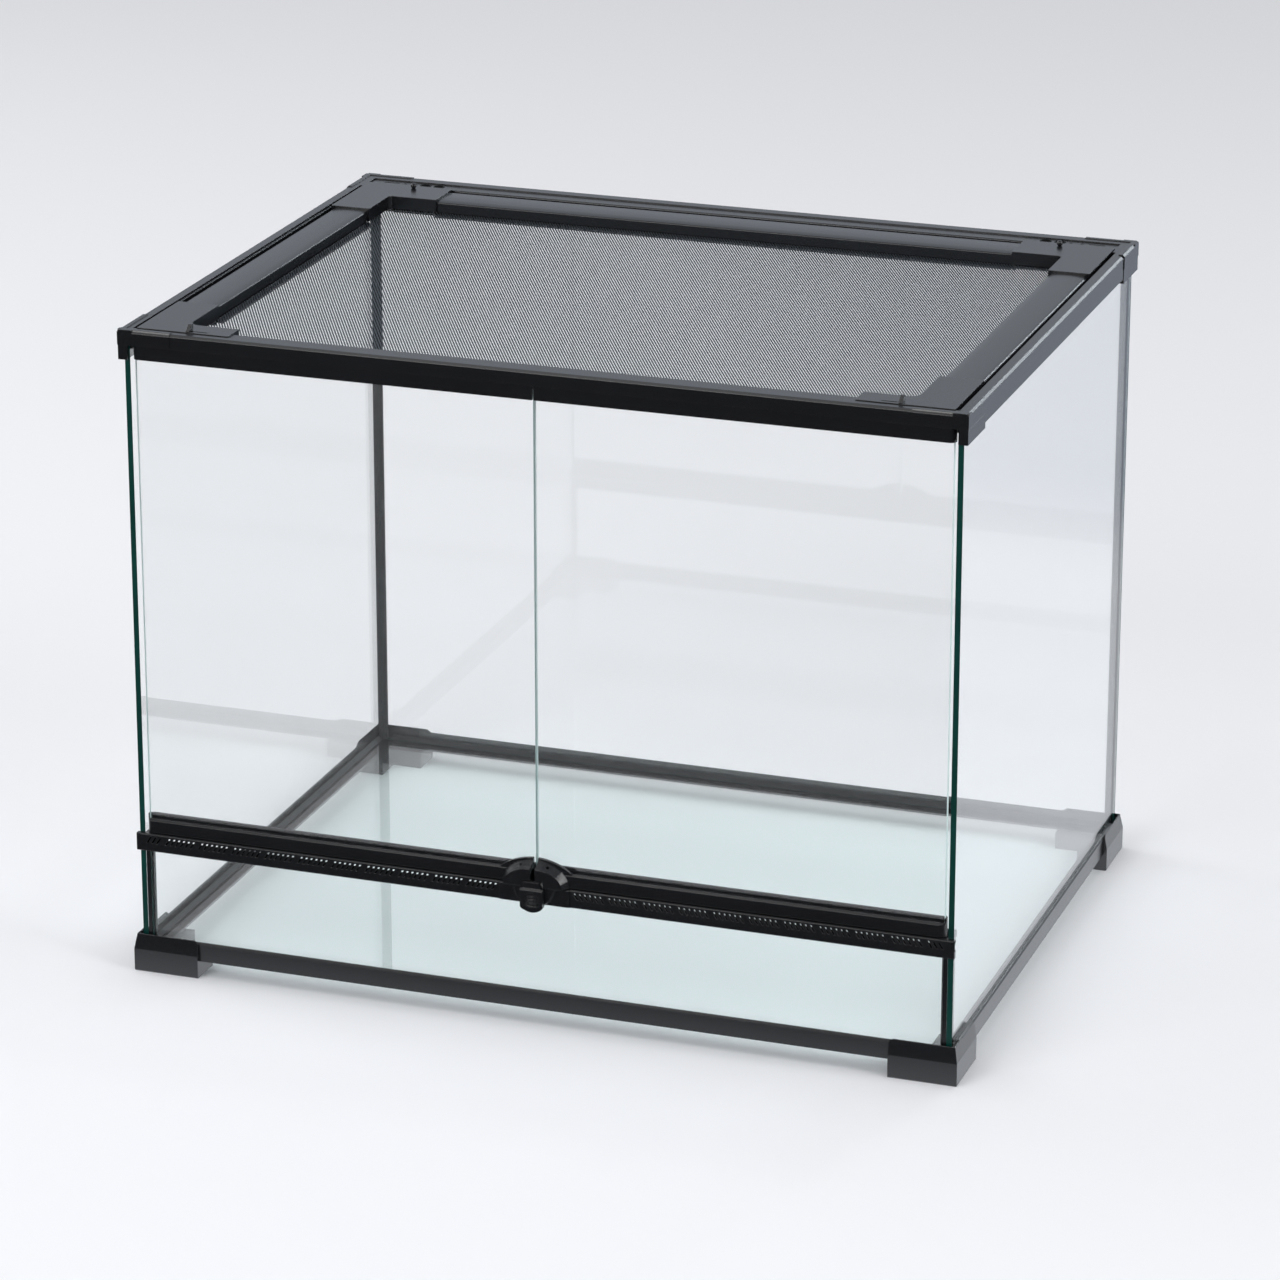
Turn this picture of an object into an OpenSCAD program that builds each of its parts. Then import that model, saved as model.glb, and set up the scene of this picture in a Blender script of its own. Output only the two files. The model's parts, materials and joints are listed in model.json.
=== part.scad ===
// Front-opening glass enclosure for small pets: framed glass box on four feet,
// two hinged doors with a push-down latch, vented sill rail and a hinged mesh lid.
// Frame: +Z up, the doors face -Y, the origin is at the centre of the base.

/* [Enclosure] */
// Width across the top frame
body_w = 606; // [480:1:900]
// Depth across the top frame
body_d = 456; // [360:1:600]
// Height from the floor to the top of the frame
body_h = 476; // [300:1:900]

/* [Glass] */
// Thickness of the wall, sill and door panes
glass_t = 4; // [3:0.1:4.2]
// Thickness of the floor pane
floor_t = 5; // [4:0.1:8]
// How far the wall panes stand inside the frame's outer faces
glass_inset = 3.8; // [3.4:0.1:4.4]
// Radius of the upright silicone beads
bead = 6; // [3:0.1:8]
// Side length of the silicone beads along the floor
floor_bead = 3; // [2:0.1:6]

/* [Base] */
// Height of the feet
foot_h = 28; // [27:0.1:36]
// Length of each foot's two arms
foot_arm = 47; // [36:1:70]
// Width of each arm, seen from below
foot_w = 24; // [20:0.5:32]
// How far the lower part of a foot flares outwards
foot_flare = 2; // [0.5:0.1:5]
// How far a foot's upper edge stands proud of the base rails
foot_proud = 1; // [0.6:0.1:2]
// Wall of the foot shells
foot_wall = 2.4; // [1.6:0.1:4]
// Height of the base rails' undersides above the floor
base_z = 12.4; // [9:0.1:16]
// Height of the base rails
base_h = 14; // [10:0.1:15]
// How far the base rails stand inside the top frame's outline
base_inset = 1.5; // [0.5:0.1:2.2]
// Width of the flange that carries the floor pane
base_flange = 16; // [12:0.5:30]
// Thickness of that flange
flange_t = 2; // [1.5:0.1:3]

/* [Top frame] */
// Height of the corner caps
skirt_h = 21.5; // [19:0.1:30]
// Height of the rails round the back and sides
rail_h = 18; // [17:0.1:26]
// Height of the front rail over the doors
header_h = 11; // [9.5:0.1:14]
// Thickness of the front rail's shelf
header_t = 4; // [3:0.1:5]
// Depth of the front rail's shelf
header_d = 15.5; // [14:0.1:20]
// Width of the rails' top faces
rail_top = 11; // [10:0.1:16]
// Width of the open channel between the side rails' top faces and the lid
channel_w = 2.5; // [1:0.1:2.6]
// Depth of that channel
channel_d = 9; // [4:0.1:12]
// Width of the front rail's top face
header_top = 7.7; // [6:0.1:8]
// Chamfer along the frame's outer top edges
edge_c = 1.6; // [0.4:0.1:2.2]
// Length of the corner caps along the front and back
cap_x = 39; // [24:1:60]
// Length of the corner caps along the sides
cap_y = 42; // [34:1:60]
// How far the caps stand proud of the rails
cap_proud = 0.6; // [0.2:0.1:1]
// Width of the raised rib along the caps' outer edges
cap_rib = 4.6; // [2.5:0.1:6]
// Width of the tab at each end of the door opening
cap_tab = 7; // [5:0.1:7.4]
// Thickness of the ledge under the lid
ledge_t = 2; // [1.5:0.1:3]
// Width of the ledge under the lid's sides
ledge_w = 9; // [5:0.1:14]
// Depth of the fixed shelf behind the lid
shelf_d = 12.3; // [11:0.1:18]
// Thickness of the shelf
shelf_t = 2; // [1.5:0.1:3]
// Drop from the rails' top faces to the shelf
shelf_drop = 1; // [0.6:0.1:2.5]
// Length of each cord plate
plate_w = 69; // [60:1:90]

/* [Cord outlets] */
// Radius of each star grommet's hole
grommet_r = 4.2; // [3:0.1:4.8]
// Distance between a plate's two grommets
grommet_pitch = 10.8; // [10:0.1:14]
// Width of the slits in the star
slit_w = 0.9; // [0.5:0.1:1.2]
// Radius of the two small holes beside them
dot_r = 1.2; // [0.6:0.1:1.6]

/* [Door opening] */
// Height of the vent rail's underside
sill_z = 92.4; // [60:0.1:140]
// Height of the vent rail
sill_h = 13.1; // [12.6:0.1:18]
// Depth of the vent rail
sill_d = 14; // [13:0.1:20]
// Wall of the vent rail
sill_wall = 1.8; // [1.4:0.1:2.2]
// How deep the sill pane sits in the vent rail
sill_groove = 4.6; // [3:0.1:5]
// How far the vent rail's ends stand inside the frame's outline
sill_inset = 2.5; // [1:0.1:3]
// Height of the lip that the doors close against
stop_h = 3; // [1:0.1:6]
// Width of the posts at the sill pane's ends
post_w = 3.2; // [3:0.1:8]
// Gap between the two doors
door_gap = 1.2; // [0.6:0.1:3]
// Height of the strips along the doors' top and bottom edges
strip_h = 10; // [8:0.1:16]
// Thickness of those strips
strip_t = 9; // [8:0.1:9.4]
// How much higher the bottom strip's rear wall is
strip_back = 3; // [0:0.1:6]
// Web between a strip's outer edge and the pane
strip_web = 3.4; // [2.6:0.1:5]
// Distance from the frame's front plane to the hinge axis
axis_back = 7; // [6.6:0.1:8]
// Radius of the hinge pins
pin_r = 1.5; // [1:0.1:1.8]
// Distance from the wall panes' inner faces to the hinge axis
axis_in = 6.2; // [5.4:0.1:9]

/* [Vents] */
// Slots in one group
vent_n = 6; // [3:1:6]
// Distance between slots
vent_pitch = 3.74; // [3.2:0.02:3.8]
// Distance between groups
vent_group = 25.3; // [24.6:0.1:32]
// Width of a slot
vent_w = 1.5; // [1:0.1:1.8]
// Height of a slot
vent_h = 4.9; // [3.5:0.1:5]
// How far a slot leans towards the latch
vent_lean = 3; // [0:0.1:4]
// Distance from the frame's side to the first through slot
vent_first = 24.3; // [22:0.1:30]
// Blind slots in front of each hinge boss
vent_blind = 3; // [0:1:3]

/* [Latch] */
// Width of the latch base
latch_w = 51; // [40:0.5:80]
// How far the latch base stands proud of the vent rail
latch_proud = 1; // [0.5:0.1:2]
// Radius of the half-round boss
boss_r = 15.5; // [13:0.1:20]
// Thickness of the boss
boss_t = 2; // [1.6:0.1:4]
// Width of the button
button_w = 16.5; // [14:0.1:20]
// Height of the button
button_h = 17.6; // [15:0.1:20]
// Thickness of the button
button_t = 4.2; // [3:0.1:7]
// Height of the tongue on the button
tongue_h = 4.6; // [3:0.1:6]
// Width of the tongue at its foot
tongue_w = 13.4; // [8:0.1:14]
// Travel of the button
button_travel = 4; // [2:0.1:4.4]

/* [Door handles] */
// Reach of each handle from the door seam
wing_w = 25; // [18:0.5:32]
// Height of each handle
wing_h = 17; // [13:0.1:22]
// How far the handles stand proud of the strips
wing_d = 7; // [4:0.1:9]
// Height of the plate behind the handles
wing_plate_h = 19; // [18:0.1:26]
// Radius of that plate's top edge
wing_plate_r = 43; // [36:0.5:60]

/* [Lid] */
// Gap between the lid and the frame
lid_gap = 0.5; // [0.4:0.1:1]
// Gap between the lid and the rear shelf
lid_rear_gap = 2; // [1.7:0.1:3]
// Width of the side bars
bar_w = 27.5; // [20:0.5:36]
// Width of the rear bar
rear_bar_w = 31; // [24:0.5:40]
// Width of the front bar
front_bar_w = 9.3; // [9:0.1:16]
// Wall of the bars and corners
lid_wall = 2; // [1.4:0.1:2.2]
// How far the corners stand proud of the bars
corner_proud = 1; // [0.4:0.1:1.6]
// Height of the bars' crown above a straight line
bar_crown = 2.2; // [1:0.1:5]
// Drop from the lid's top to the bars' outer edges
bar_drop = 4.8; // [4:0.1:8]
// How far the corners reach inside the bars
corner_over = 2; // [0:0.1:4]
// Reach of the corners along the front and back
corner_x = 68; // [66:1:90]
// Reach of the front corners along the sides
corner_y_front = 70; // [50:1:90]
// Reach of the rear corners along the sides
corner_y_rear = 74; // [50:1:90]
// Depth of the front corners' shelf
corner_shelf = 18.8; // [16:0.1:26]
// Fillet inside the front corners
corner_fillet = 8; // [4:0.5:14]
// Depth of the mesh below the lid's top
mesh_drop = 10; // [9:0.1:11]
// Wire thickness of the mesh
wire = 0.55; // [0.4:0.05:0.8]
// Distance between the wires
mesh_pitch = 6; // [5:0.5:12]
// Width of the flange under the mesh
mesh_flange = 5; // [3:0.1:9]
// Radius of the ball knobs
knob_r = 2.2; // [1.6:0.1:2.4]
// Distance of the knobs from the lid's rear edge
knob_in = 7; // [6.6:0.1:12]
// Distance of the knobs from the lid's sides
knob_side = 39.5; // [20:0.5:60]

/* [Lid locks] */
// Distance of the levers from the lid's sides
lock_side = 37.5; // [34:0.5:44]
// Travel of the levers
lock_travel = 12; // [6:0.5:14]
// Thickness of each lever's fin
fin_t = 3; // [2:0.1:4]
// Height of the fin above the lid
fin_h = 4.5; // [3:0.1:8]
// Length of the fin, front to back
fin_l = 6.6; // [4:0.1:7]

/* [Fits] */
// Clearance round panes and seated pieces
fit = 0.2; // [0.1:0.05:0.3]
// Clearance between sliding pieces
slide_fit = 0.3; // [0.2:0.05:0.4]
// Radial clearance of a turning pin
run_fit = 0.05; // [0.02:0.01:0.1]
// Radial clearance of a fixed pin
tight_fit = 0.02; // [0.01:0.01:0.04]
// Gap above and below the doors
door_fit = 0.5; // [0.3:0.1:1]

/* [Hidden] */
$fn = 48;
black = "#26272a";
dark_metal = "#4a4e52";
steel = "#b9bdc1";
clear_green = [0.80, 0.90, 0.88, 0.4];
floor_green = [0.72, 0.86, 0.83, 0.6];

// Outline of the frame and of the glass box
hw = body_w / 2;
hd = body_d / 2;
pane_out_x = hw - glass_inset;
pane_in_x = pane_out_x - glass_t;
pane_out_y = hd - glass_inset;
pane_in_y = pane_out_y - glass_t;
pane_z = base_z + flange_t;
floor_top = pane_z + floor_t;
base_out_x = hw - base_inset;
base_out_y = hd - base_inset;
base_wall = glass_inset - base_inset - fit;
post_lap = 1.6;
post_back = 3;

// Heights in the top frame
skirt_z = body_h - skirt_h;
rail_z = body_h - rail_h;
header_z = body_h - header_h;
roof_z = body_h - cap_proud;
glass_drop = 3.6;
channel_web = 0.8;
channel_step = 0.9;
cap_relief = 0.3;
tab_set = 0.4;
slit_wide = 1.6;
slit_deep = 2.8;
slit_end = 5;
pivot_boss = 6;
glass_top = body_h - glass_drop;
lid_thick = 14.5;
ledge_back = 14;
hair = 0.01;
join = 0.1;
ledge_z = body_h - lid_thick - lid_gap;
header_wall = 1.8;
header_web = 3.1;
header_cut = 0.8;
rail_in_x = hw - rail_top;
rail_in_y = hd - rail_top;
shelf_y = rail_in_y - shelf_d;
shelf_z = roof_z - shelf_drop;
plate_out = rail_in_x - lid_gap;
plate_in = plate_out - plate_w;
plate_z = shelf_z - shelf_t;
grommet_in = 15;
dot_gap = 8;
dot_pitch = 8.5;
mark_in = 5;
mark_l = 12;
mark_w = 1.4;
mark_deep = 0.8;

// Lid outline, top faces and mesh field
lid_hx = rail_in_x - lid_gap;
lid_rear = shelf_y - lid_rear_gap;
lid_front = -hd + header_top + lid_gap;
lid_top = body_h;
lid_low = ledge_z + lid_gap;
bar_top = lid_top - corner_proud;
bar_out = lid_hx - 1;
bar_in = bar_out - bar_w;
rear_bar_out = lid_rear - 1;
rear_bar_in = rear_bar_out - rear_bar_w;
front_bar_in = lid_front + front_bar_w;
mesh_top = lid_top - mesh_drop;
layer_gap = 0.02;
mesh_low = mesh_top - 2 * wire - layer_gap;
flange_z = mesh_low - lid_wall;
header_shelf_z = header_z + header_t;
header_edge = -hd + header_d;
front_low = header_shelf_z + slide_fit;
leg_front = header_edge + 0.4;
corner_in_x = bar_in - corner_over;
corner_in_rear = rear_bar_in - corner_over;
corner_end_x = lid_hx - corner_x;
roof_spare = 0.2;
corner_roof = lid_top - lid_wall - roof_spare;
corner_cut = 2;
pivot_room = pin_r + join;
pivot_y = lid_rear - lid_wall - pivot_room;
pivot_z = corner_roof - pivot_room;
heel_z = lid_low - (pivot_z - lid_low) + norm([lid_rear - pivot_y, pivot_z - lid_low]);

// Door opening
axis_x = pane_in_x - axis_in;
axis_y = -hd + axis_back;
sill_top = sill_z + sill_h;
door_low = sill_top + door_fit;
door_high = header_z - door_fit;
web_min = 1;
strip_r = strip_t / 2;
door_glass_end = axis_x + strip_r - 1.5;
door_glass_low = max(door_low + strip_web, sill_top + tongue_h + door_fit + web_min);
door_glass_high = door_high - strip_web;
pane_half = glass_t / 2;
strip_back_y = axis_y + strip_r;
groove_z = sill_z + sill_groove;
groove_roof = groove_z + 1.2;
vent_low = groove_roof + 0.5;
door_pin_in = strip_web - 0.2;
pin_seat = header_t - 0.3;
sill_pin_seat = 5.5;

// Latch
latch_half = latch_w / 2;
latch_front = -hd - latch_proud;
boss_front = latch_front - boss_t;
boss_seat = 0.3;
boss_taper = 1.2;
button_back = boss_front - slide_fit;
button_front = button_back - button_t;
button_top = sill_top + 0.1;
button_low = button_top - button_h;
pocket_back = -hd + 1.7;
pocket_front = latch_front + 0.3;
pocket_half = 6.3;
pocket_low = sill_z + 0.8;
pocket_high = sill_top - 0.7;
keeper_h = 4.3;
keeper_top = pocket_high - slide_fit;
keeper_low = keeper_top - keeper_h;
stem_half = 3;
thumb_side = 2.4;
thumb_top = 3.2;
ridge_r = 7.6;
ridge_pitch = 2.4;
ridge_t = 1;
notch_half = tongue_w / 2 + 0.9;
notch_top = button_top + tongue_h + door_fit;
wing_in = 1.8;
spring_r = 0.8;
spring_wire = 0.2;
spring_y = (pocket_front + pocket_back) / 2;

// The whole box is centred on the origin, front to back
box_front = -button_front;
box_rear = base_out_y + foot_proud + foot_flare;
shift_y = (box_front - box_rear) / 2;

// ---------- helpers ----------

// A block between two corners
module block(low, high) translate(low) cube(high - low);

// A section drawn in (x, z) and run from y0 to y1
module along_y(y0, y1) translate([0, y1, 0]) rotate([90, 0, 0]) linear_extrude(y1 - y0) children();

// A section drawn in (y, z) and run from x0 to x1
module along_x(x0, x1) translate([x0, 0, 0]) rotate([90, 0, 90]) linear_extrude(x1 - x0) children();

// A piece drawn for the right and back, sent to side sx and end sy
module corner(sx, sy) mirror([sx < 0 ? 1 : 0, 0, 0]) mirror([0, sy < 0 ? 1 : 0, 0]) children();

// A piece drawn for the right, sent to side sx
module side(sx) mirror([sx < 0 ? 1 : 0, 0, 0]) children();

module in_place() translate([0, shift_y, 0]) children();

// A pin or bore standing on the hinge axis
module upright(x, r, z0, z1) translate([x, axis_y, z0]) cylinder(r = r, h = z1 - z0);

function lerp(a, b, t) = a + (b - a) * t;

// ---------- glass box ----------

module floor_glass() color(floor_green)
    block([-pane_in_x + fit, -pane_in_y + fit, pane_z], [pane_in_x - fit, pane_in_y - fit, floor_top]);

module side_glass(sx) color(clear_green) side(sx)
    block([pane_in_x, -pane_out_y, pane_z], [pane_out_x, pane_out_y, glass_top]);

module rear_glass() color(clear_green)
    block([-pane_in_x + fit, pane_in_y, pane_z], [pane_in_x - fit, pane_out_y, glass_top]);

module sill_glass() color(clear_green)
    block([-pane_in_x + post_w + fit, -pane_out_y, pane_z],
          [pane_in_x - post_w - fit, -pane_in_y, groove_z - fit]);

// Quarter-round bead in a rear corner
module rear_seal(sx) color(black) side(sx) translate([pane_in_x, pane_in_y, floor_top])
    intersection() {
        cylinder(r = bead, h = ledge_z - ledge_t - floor_top);
        translate([-bead, -bead, 0]) cube([bead, bead, body_h]);
    }

// Beads along the floor's edges, mitred by stopping short of the corners
module floor_seal() color(black) {
    b = floor_bead;
    bead_section = [[0, 0], [b, 0], [b * 0.5, b * 0.5], [0, b]];
    for (sx = [-1, 1]) side(sx)
        translate([pane_in_x, 0, floor_top])
            along_y(-pane_in_y + bead, pane_in_y - bead)
                mirror([1, 0]) polygon(bead_section);
    for (sy = [-1, 1]) corner(1, sy)
        translate([0, pane_in_y, floor_top])
            along_x(-pane_in_x + post_w + bead, pane_in_x - post_w - bead)
                mirror([1, 0]) polygon(bead_section);
}

// Channel that holds one end of the sill pane
module sill_post(sx) color(black) side(sx) difference() {
    block([pane_in_x - post_w - post_lap, -pane_out_y, floor_top + floor_bead],
          [pane_in_x - fit, -pane_in_y + post_back, sill_z]);
    block([pane_in_x - post_w - post_lap - 1, -pane_out_y - 1, floor_top],
          [pane_in_x - post_w, -pane_in_y + fit, sill_z + 1]);
}

// ---------- base ----------

// Angle section: outer wall up to the pane, flange below it
function base_section(out) = [
    [out - base_flange, base_z], [out, base_z], [out, base_z + base_h - 0.8],
    [out - 0.8, base_z + base_h], [out - base_wall, base_z + base_h],
    [out - base_wall, pane_z], [out - base_flange, pane_z]
];

module end_base_rail(sy) color(black) corner(1, sy)
    along_x(-base_out_x, base_out_x) polygon(base_section(base_out_y));

module side_base_rail(sx) color(black) side(sx)
    along_y(-base_out_y + base_flange, base_out_y - base_flange) polygon(base_section(base_out_x));

// Foot flare, seen from the end of an arm
function foot_profile(out) = [
    [0, 0], [out + foot_flare - 0.6, 0], [out + foot_flare, 0.6],
    [out + foot_flare, foot_h * 0.6], [out, foot_h], [0, foot_h]
];

// L-shaped plan between two distances from the corner at [ox, oy]
module foot_plan(ox, oy, inset, grow) polygon([
    [ox - foot_arm + inset, oy + grow], [ox + grow, oy + grow], [ox + grow, oy - foot_arm + inset],
    [ox - foot_w + inset, oy - foot_arm + inset], [ox - foot_w + inset, oy - foot_w + inset],
    [ox - foot_arm + inset, oy - foot_w + inset]
]);

module foot(sx, sy) color(black) corner(sx, sy) {
    top_x = base_out_x + foot_proud;
    top_y = base_out_y + foot_proud;
    slope = 3;
    difference() {
        intersection() {
            along_y(0, hd * 2) polygon(foot_profile(top_x));
            along_x(0, hw * 2) polygon(foot_profile(top_y));
            linear_extrude(foot_h) foot_plan(top_x, top_y, 0, foot_flare * 2);
        }
        block([0, 0, base_z], [base_out_x + fit / 2, base_out_y + fit / 2, foot_h + 1]);
        translate([0, 0, -1]) linear_extrude(base_z - foot_wall + 1)
            foot_plan(top_x, top_y, foot_wall, -foot_proud);
        along_y(0, hd * 2) polygon([
            [top_x - foot_arm - 1, foot_h - slope], [top_x - foot_arm + slope + 1, foot_h + 1],
            [top_x - foot_arm - 1, foot_h + 1]
        ]);
        along_x(0, hw * 2) polygon([
            [top_y - foot_arm - 1, foot_h - slope], [top_y - foot_arm + slope + 1, foot_h + 1],
            [top_y - foot_arm - 1, foot_h + 1]
        ]);
    }
}

// ---------- top frame ----------

// Inverted channel over a pane's top edge, with the ledge under the lid
function wrap_section(out, low, top, pane_in, pane_out, inner, ledge) = [
    [out, low], [out, top - edge_c], [out - edge_c, top], [inner, top],
    [inner, ledge_z], [inner - ledge, ledge_z], [inner - ledge, ledge_z - ledge_t],
    [pane_in - fit, ledge_z - ledge_t], [pane_in - fit, glass_top + fit],
    [pane_out + fit, glass_top + fit], [pane_out + fit, low]
];

// Channel beside the lid: full width above the pane, narrower in the wall below
module side_channel(y0, y1) {
    block([rail_in_x - 1, y0, glass_top + channel_web], [rail_in_x + channel_w, y1, body_h + 1]);
    block([rail_in_x - 1, y0, roof_z - channel_d],
          [rail_in_x + channel_w - channel_step, y1, body_h + 1]);
}

module top_side_rail(sx) color(black) side(sx) difference() {
    along_y(-hd + cap_y, hd - cap_y) polygon(
        wrap_section(hw - cap_proud, rail_z, roof_z, pane_in_x, pane_out_x, rail_in_x, ledge_w));
    side_channel(-hd, hd);
}

// Box section over the doors, with a shelf that the lid's front edge rests on
module header_section(proud) difference() {
    front = -hd + cap_proud - proud;
    top = roof_z;
    w = header_wall;
    room = -hd + header_top - header_web;
    polygon([
        [front, header_z], [front, top - edge_c], [front + edge_c, top],
        [-hd + header_top, top], [-hd + header_top, header_shelf_z],
        [header_edge, header_shelf_z], [header_edge, header_z]
    ]);
    polygon([
        [front + w, header_z + w], [room, header_z + w], [room, top - w],
        [front + w + header_cut, top - w], [front + w, top - w - header_cut]
    ]);
}

module top_front_rail() color(black) along_x(-hw + cap_x, hw - cap_x) header_section(0);

// Rear rail: channel over the rear pane and a hollow shelf behind the lid
module top_rear_rail() color(black) difference() {
    ledge = rail_in_y - rear_bar_in - ledge_back;
    union() {
        along_x(-hw + cap_x, hw - cap_x) {
            polygon(wrap_section(hd - cap_proud, rail_z, roof_z, pane_in_y, pane_out_y, rail_in_y,
                                 ledge));
            difference() {
                polygon([[shelf_y, ledge_z], [rail_in_y, ledge_z], [rail_in_y, shelf_z],
                         [shelf_y + 0.8, shelf_z], [shelf_y, shelf_z - 0.8]]);
                polygon([[shelf_y + shelf_t, ledge_z + hair], [rail_in_y - hair, ledge_z + hair],
                         [rail_in_y - hair, plate_z], [shelf_y + shelf_t, plate_z]]);
            }
        }
        block([-plate_out, hd - cap_y, ledge_z - ledge_t], [plate_out, rail_in_y - hair, ledge_z]);
    }
    for (sx = [-1, 1]) side(sx) block([plate_in, 0, ledge_z], [hw, rail_in_y, body_h]);
}

// Ribbed top edge of a cap, cut one step lower inside the rib
module cap_step(x0, y0)
    difference() {
        block([x0, y0, roof_z], [hw + 1, hd + 1, body_h + 1]);
        block([hw - cap_rib, y0 - 1, roof_z - 1], [hw + 2, hd + 2, body_h + 2]);
        block([x0 - 1, hd - cap_rib, roof_z - 1], [hw + 2, hd + 2, body_h + 2]);
    }

// Faint step round the foot of a cap, level with the front rail's lower edge
module cap_foot_step() {
    block([hw - cap_relief, 0, 0], [hw + 1, hd + 1, header_z]);
    block([0, hd - cap_relief, 0], [hw + 1, hd + 1, header_z]);
}

// Tapering slit where a front cap meets the side rail
module cap_slit() translate([hw - slit_deep, 0, 0]) along_x(0, slit_deep + 1) polygon([
    [hd - cap_y - 1, body_h + 1], [hd - cap_y + slit_wide, body_h + 1],
    [hd - cap_y, skirt_z + slit_end], [hd - cap_y - 1, skirt_z + slit_end]
]);

function cap_wall(out, pane_out, inner, low) = [
    [out, low], [out, body_h - edge_c], [out - edge_c, body_h], [inner, body_h],
    [inner, header_z], [pane_out + fit, header_z], [pane_out + fit, low]
];

module front_cap(sx) color(black) corner(sx, -1) difference() {
    side_start = -strip_back_y - slide_fit;
    union() {
        // Over the door opening
        along_x(hw - cap_x, hw) mirror([1, 0]) header_section(cap_proud);
        block([hw - cap_x, hd - header_top, roof_z - 2], [hw - cap_rib, hd - edge_c, roof_z]);
        along_x(hw - cap_x, hw) polygon([
            [hd - cap_rib, roof_z - 1], [hd - edge_c / 2, roof_z - 1], [hd - edge_c, body_h],
            [hd - cap_rib, body_h]]);
        // Down the side
        along_y(hd - cap_y, hd) polygon(cap_wall(hw, pane_out_x, rail_in_x, skirt_z));
        along_y(hd - cap_y, side_start)
            polygon(wrap_section(hw, skirt_z, body_h, pane_in_x, pane_out_x, rail_in_x, ledge_w));
        block([hw - cap_tab, pane_out_y + fit, skirt_z], [hw - tab_set, hd - tab_set, body_h - edge_c]);
    }
    cap_step(hw - rail_top - 1, hd - cap_y - 1);
    side_channel(0, -lid_front);
    cap_slit();
    cap_foot_step();
    block([pane_in_x - fit, 0, 0], [pane_out_x + fit, pane_out_y + fit, glass_top + fit]);
    translate([axis_x, -axis_y, header_z - 1]) cylinder(r = pin_r + run_fit, h = pin_seat + 1);
}

module rear_cap(sx) color(black) corner(sx, 1) difference() {
    union() {
        along_x(hw - cap_x, hw)
            polygon(wrap_section(hd, skirt_z, body_h, pane_in_y, pane_out_y, rail_in_y, hair));
        along_y(hd - cap_y, hd)
            polygon(wrap_section(hw, skirt_z, body_h, pane_in_x, pane_out_x, rail_in_x, hair));
    }
    cap_step(0, 0);
    side_channel(0, pivot_y - pivot_boss);
    cap_foot_step();
    block([pane_in_x - fit, 0, 0], [pane_out_x + fit, pane_out_y + fit, glass_top + fit]);
    block([0, pane_in_y - fit, 0], [pane_out_x + fit, pane_out_y + fit, glass_top + fit]);
    translate([rail_in_x - 1, pivot_y, pivot_z]) rotate([0, 90, 0])
        cylinder(r = pin_r + run_fit, h = 3.6);
}

// Six-petal cut of a star grommet
module star_cut(r) for (a = [0, 60, 120]) rotate(a) square([2 * r, slit_w], center = true);

function grommet_x(i) = plate_in + grommet_in + i * grommet_pitch;
function dot_x(i) = grommet_x(1) + dot_gap + i * dot_pitch;
grommet_y = shelf_y + shelf_d / 2 + 0.6;

module cord_plate(sx) color(black) side(sx) difference() {
    union() {
        block([plate_in, shelf_y, plate_z], [plate_out, rail_in_y - fit, shelf_z]);
        block([plate_in, shelf_y, ledge_z], [plate_out, shelf_y + shelf_t, shelf_z]);
        block([plate_in, shelf_y, ledge_z], [plate_in + shelf_t, rail_in_y - fit, shelf_z]);
    }
    for (i = [0, 1]) {
        translate([grommet_x(i), grommet_y, plate_z - 1]) cylinder(r = grommet_r, h = shelf_t + 2);
        translate([dot_x(i), grommet_y, plate_z - 1]) cylinder(r = dot_r, h = shelf_t + 2);
    }
    block([dot_x(1) + mark_in, grommet_y - mark_w / 2, shelf_z - mark_deep],
          [dot_x(1) + mark_in + mark_l, grommet_y + mark_w / 2, shelf_z + 1]);
}

module cord_grommets(sx) color("#1b1c1e") side(sx)
    for (i = [0, 1]) translate([grommet_x(i), grommet_y, plate_z]) {
        difference() {
            cylinder(r = grommet_r - fit / 4, h = shelf_t + 0.3);
            translate([0, 0, -1]) cylinder(r = grommet_r - 0.8, h = shelf_t + 2);
        }
        linear_extrude(0.8) difference() {
            circle(r = grommet_r - 0.7);
            star_cut(grommet_r - 1.4);
        }
    }

// ---------- sill ----------

// C section with the pane's groove below and the vent chamber above, open to the back
module sill_section(front) {
    y0 = front;
    y1 = -hd + sill_wall;
    y2 = -hd + sill_d;
    groove_front = -pane_out_y - fit;
    groove_back = -pane_in_y + fit;
    stop_y = strip_back_y + slide_fit;
    polygon([
        [y0 + 0.5, sill_z], [groove_front, sill_z], [groove_front, groove_z], [groove_back, groove_z],
        [groove_back, sill_z], [groove_back + sill_wall, sill_z], [groove_back + sill_wall, groove_roof],
        [y1, groove_roof], [y1, sill_top - sill_wall], [y2, sill_top - sill_wall],
        [y2, sill_top + stop_h], [stop_y, sill_top + stop_h], [stop_y, sill_top],
        [y0 + 0.5, sill_top], [y0, sill_top - 0.5], [y0, sill_z + 0.5]
    ]);
}

vent_x0 = hw - vent_first;
vent_span = (vent_n - 1) * vent_pitch + vent_w + vent_lean;
vent_groups = floor((vent_x0 - latch_half - vent_span) / vent_group) + 1;
vent_starts = concat(
    [for (g = [0 : vent_groups - 1], i = [0 : vent_n - 1]) vent_x0 - g * vent_group - i * vent_pitch],
    [for (i = [0 : 1 : vent_blind - 1]) axis_x + 4.2 - i * vent_pitch]
);

// Leaning slots, cut through the front wall only
module vent_slots() along_y(-hd - 1, -hd + sill_wall + 0.05)
    for (x = vent_starts) polygon([
        [x - vent_w, vent_low], [x, vent_low],
        [x - vent_lean, vent_low + vent_h], [x - vent_lean - vent_w, vent_low + vent_h]
    ]);

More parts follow.
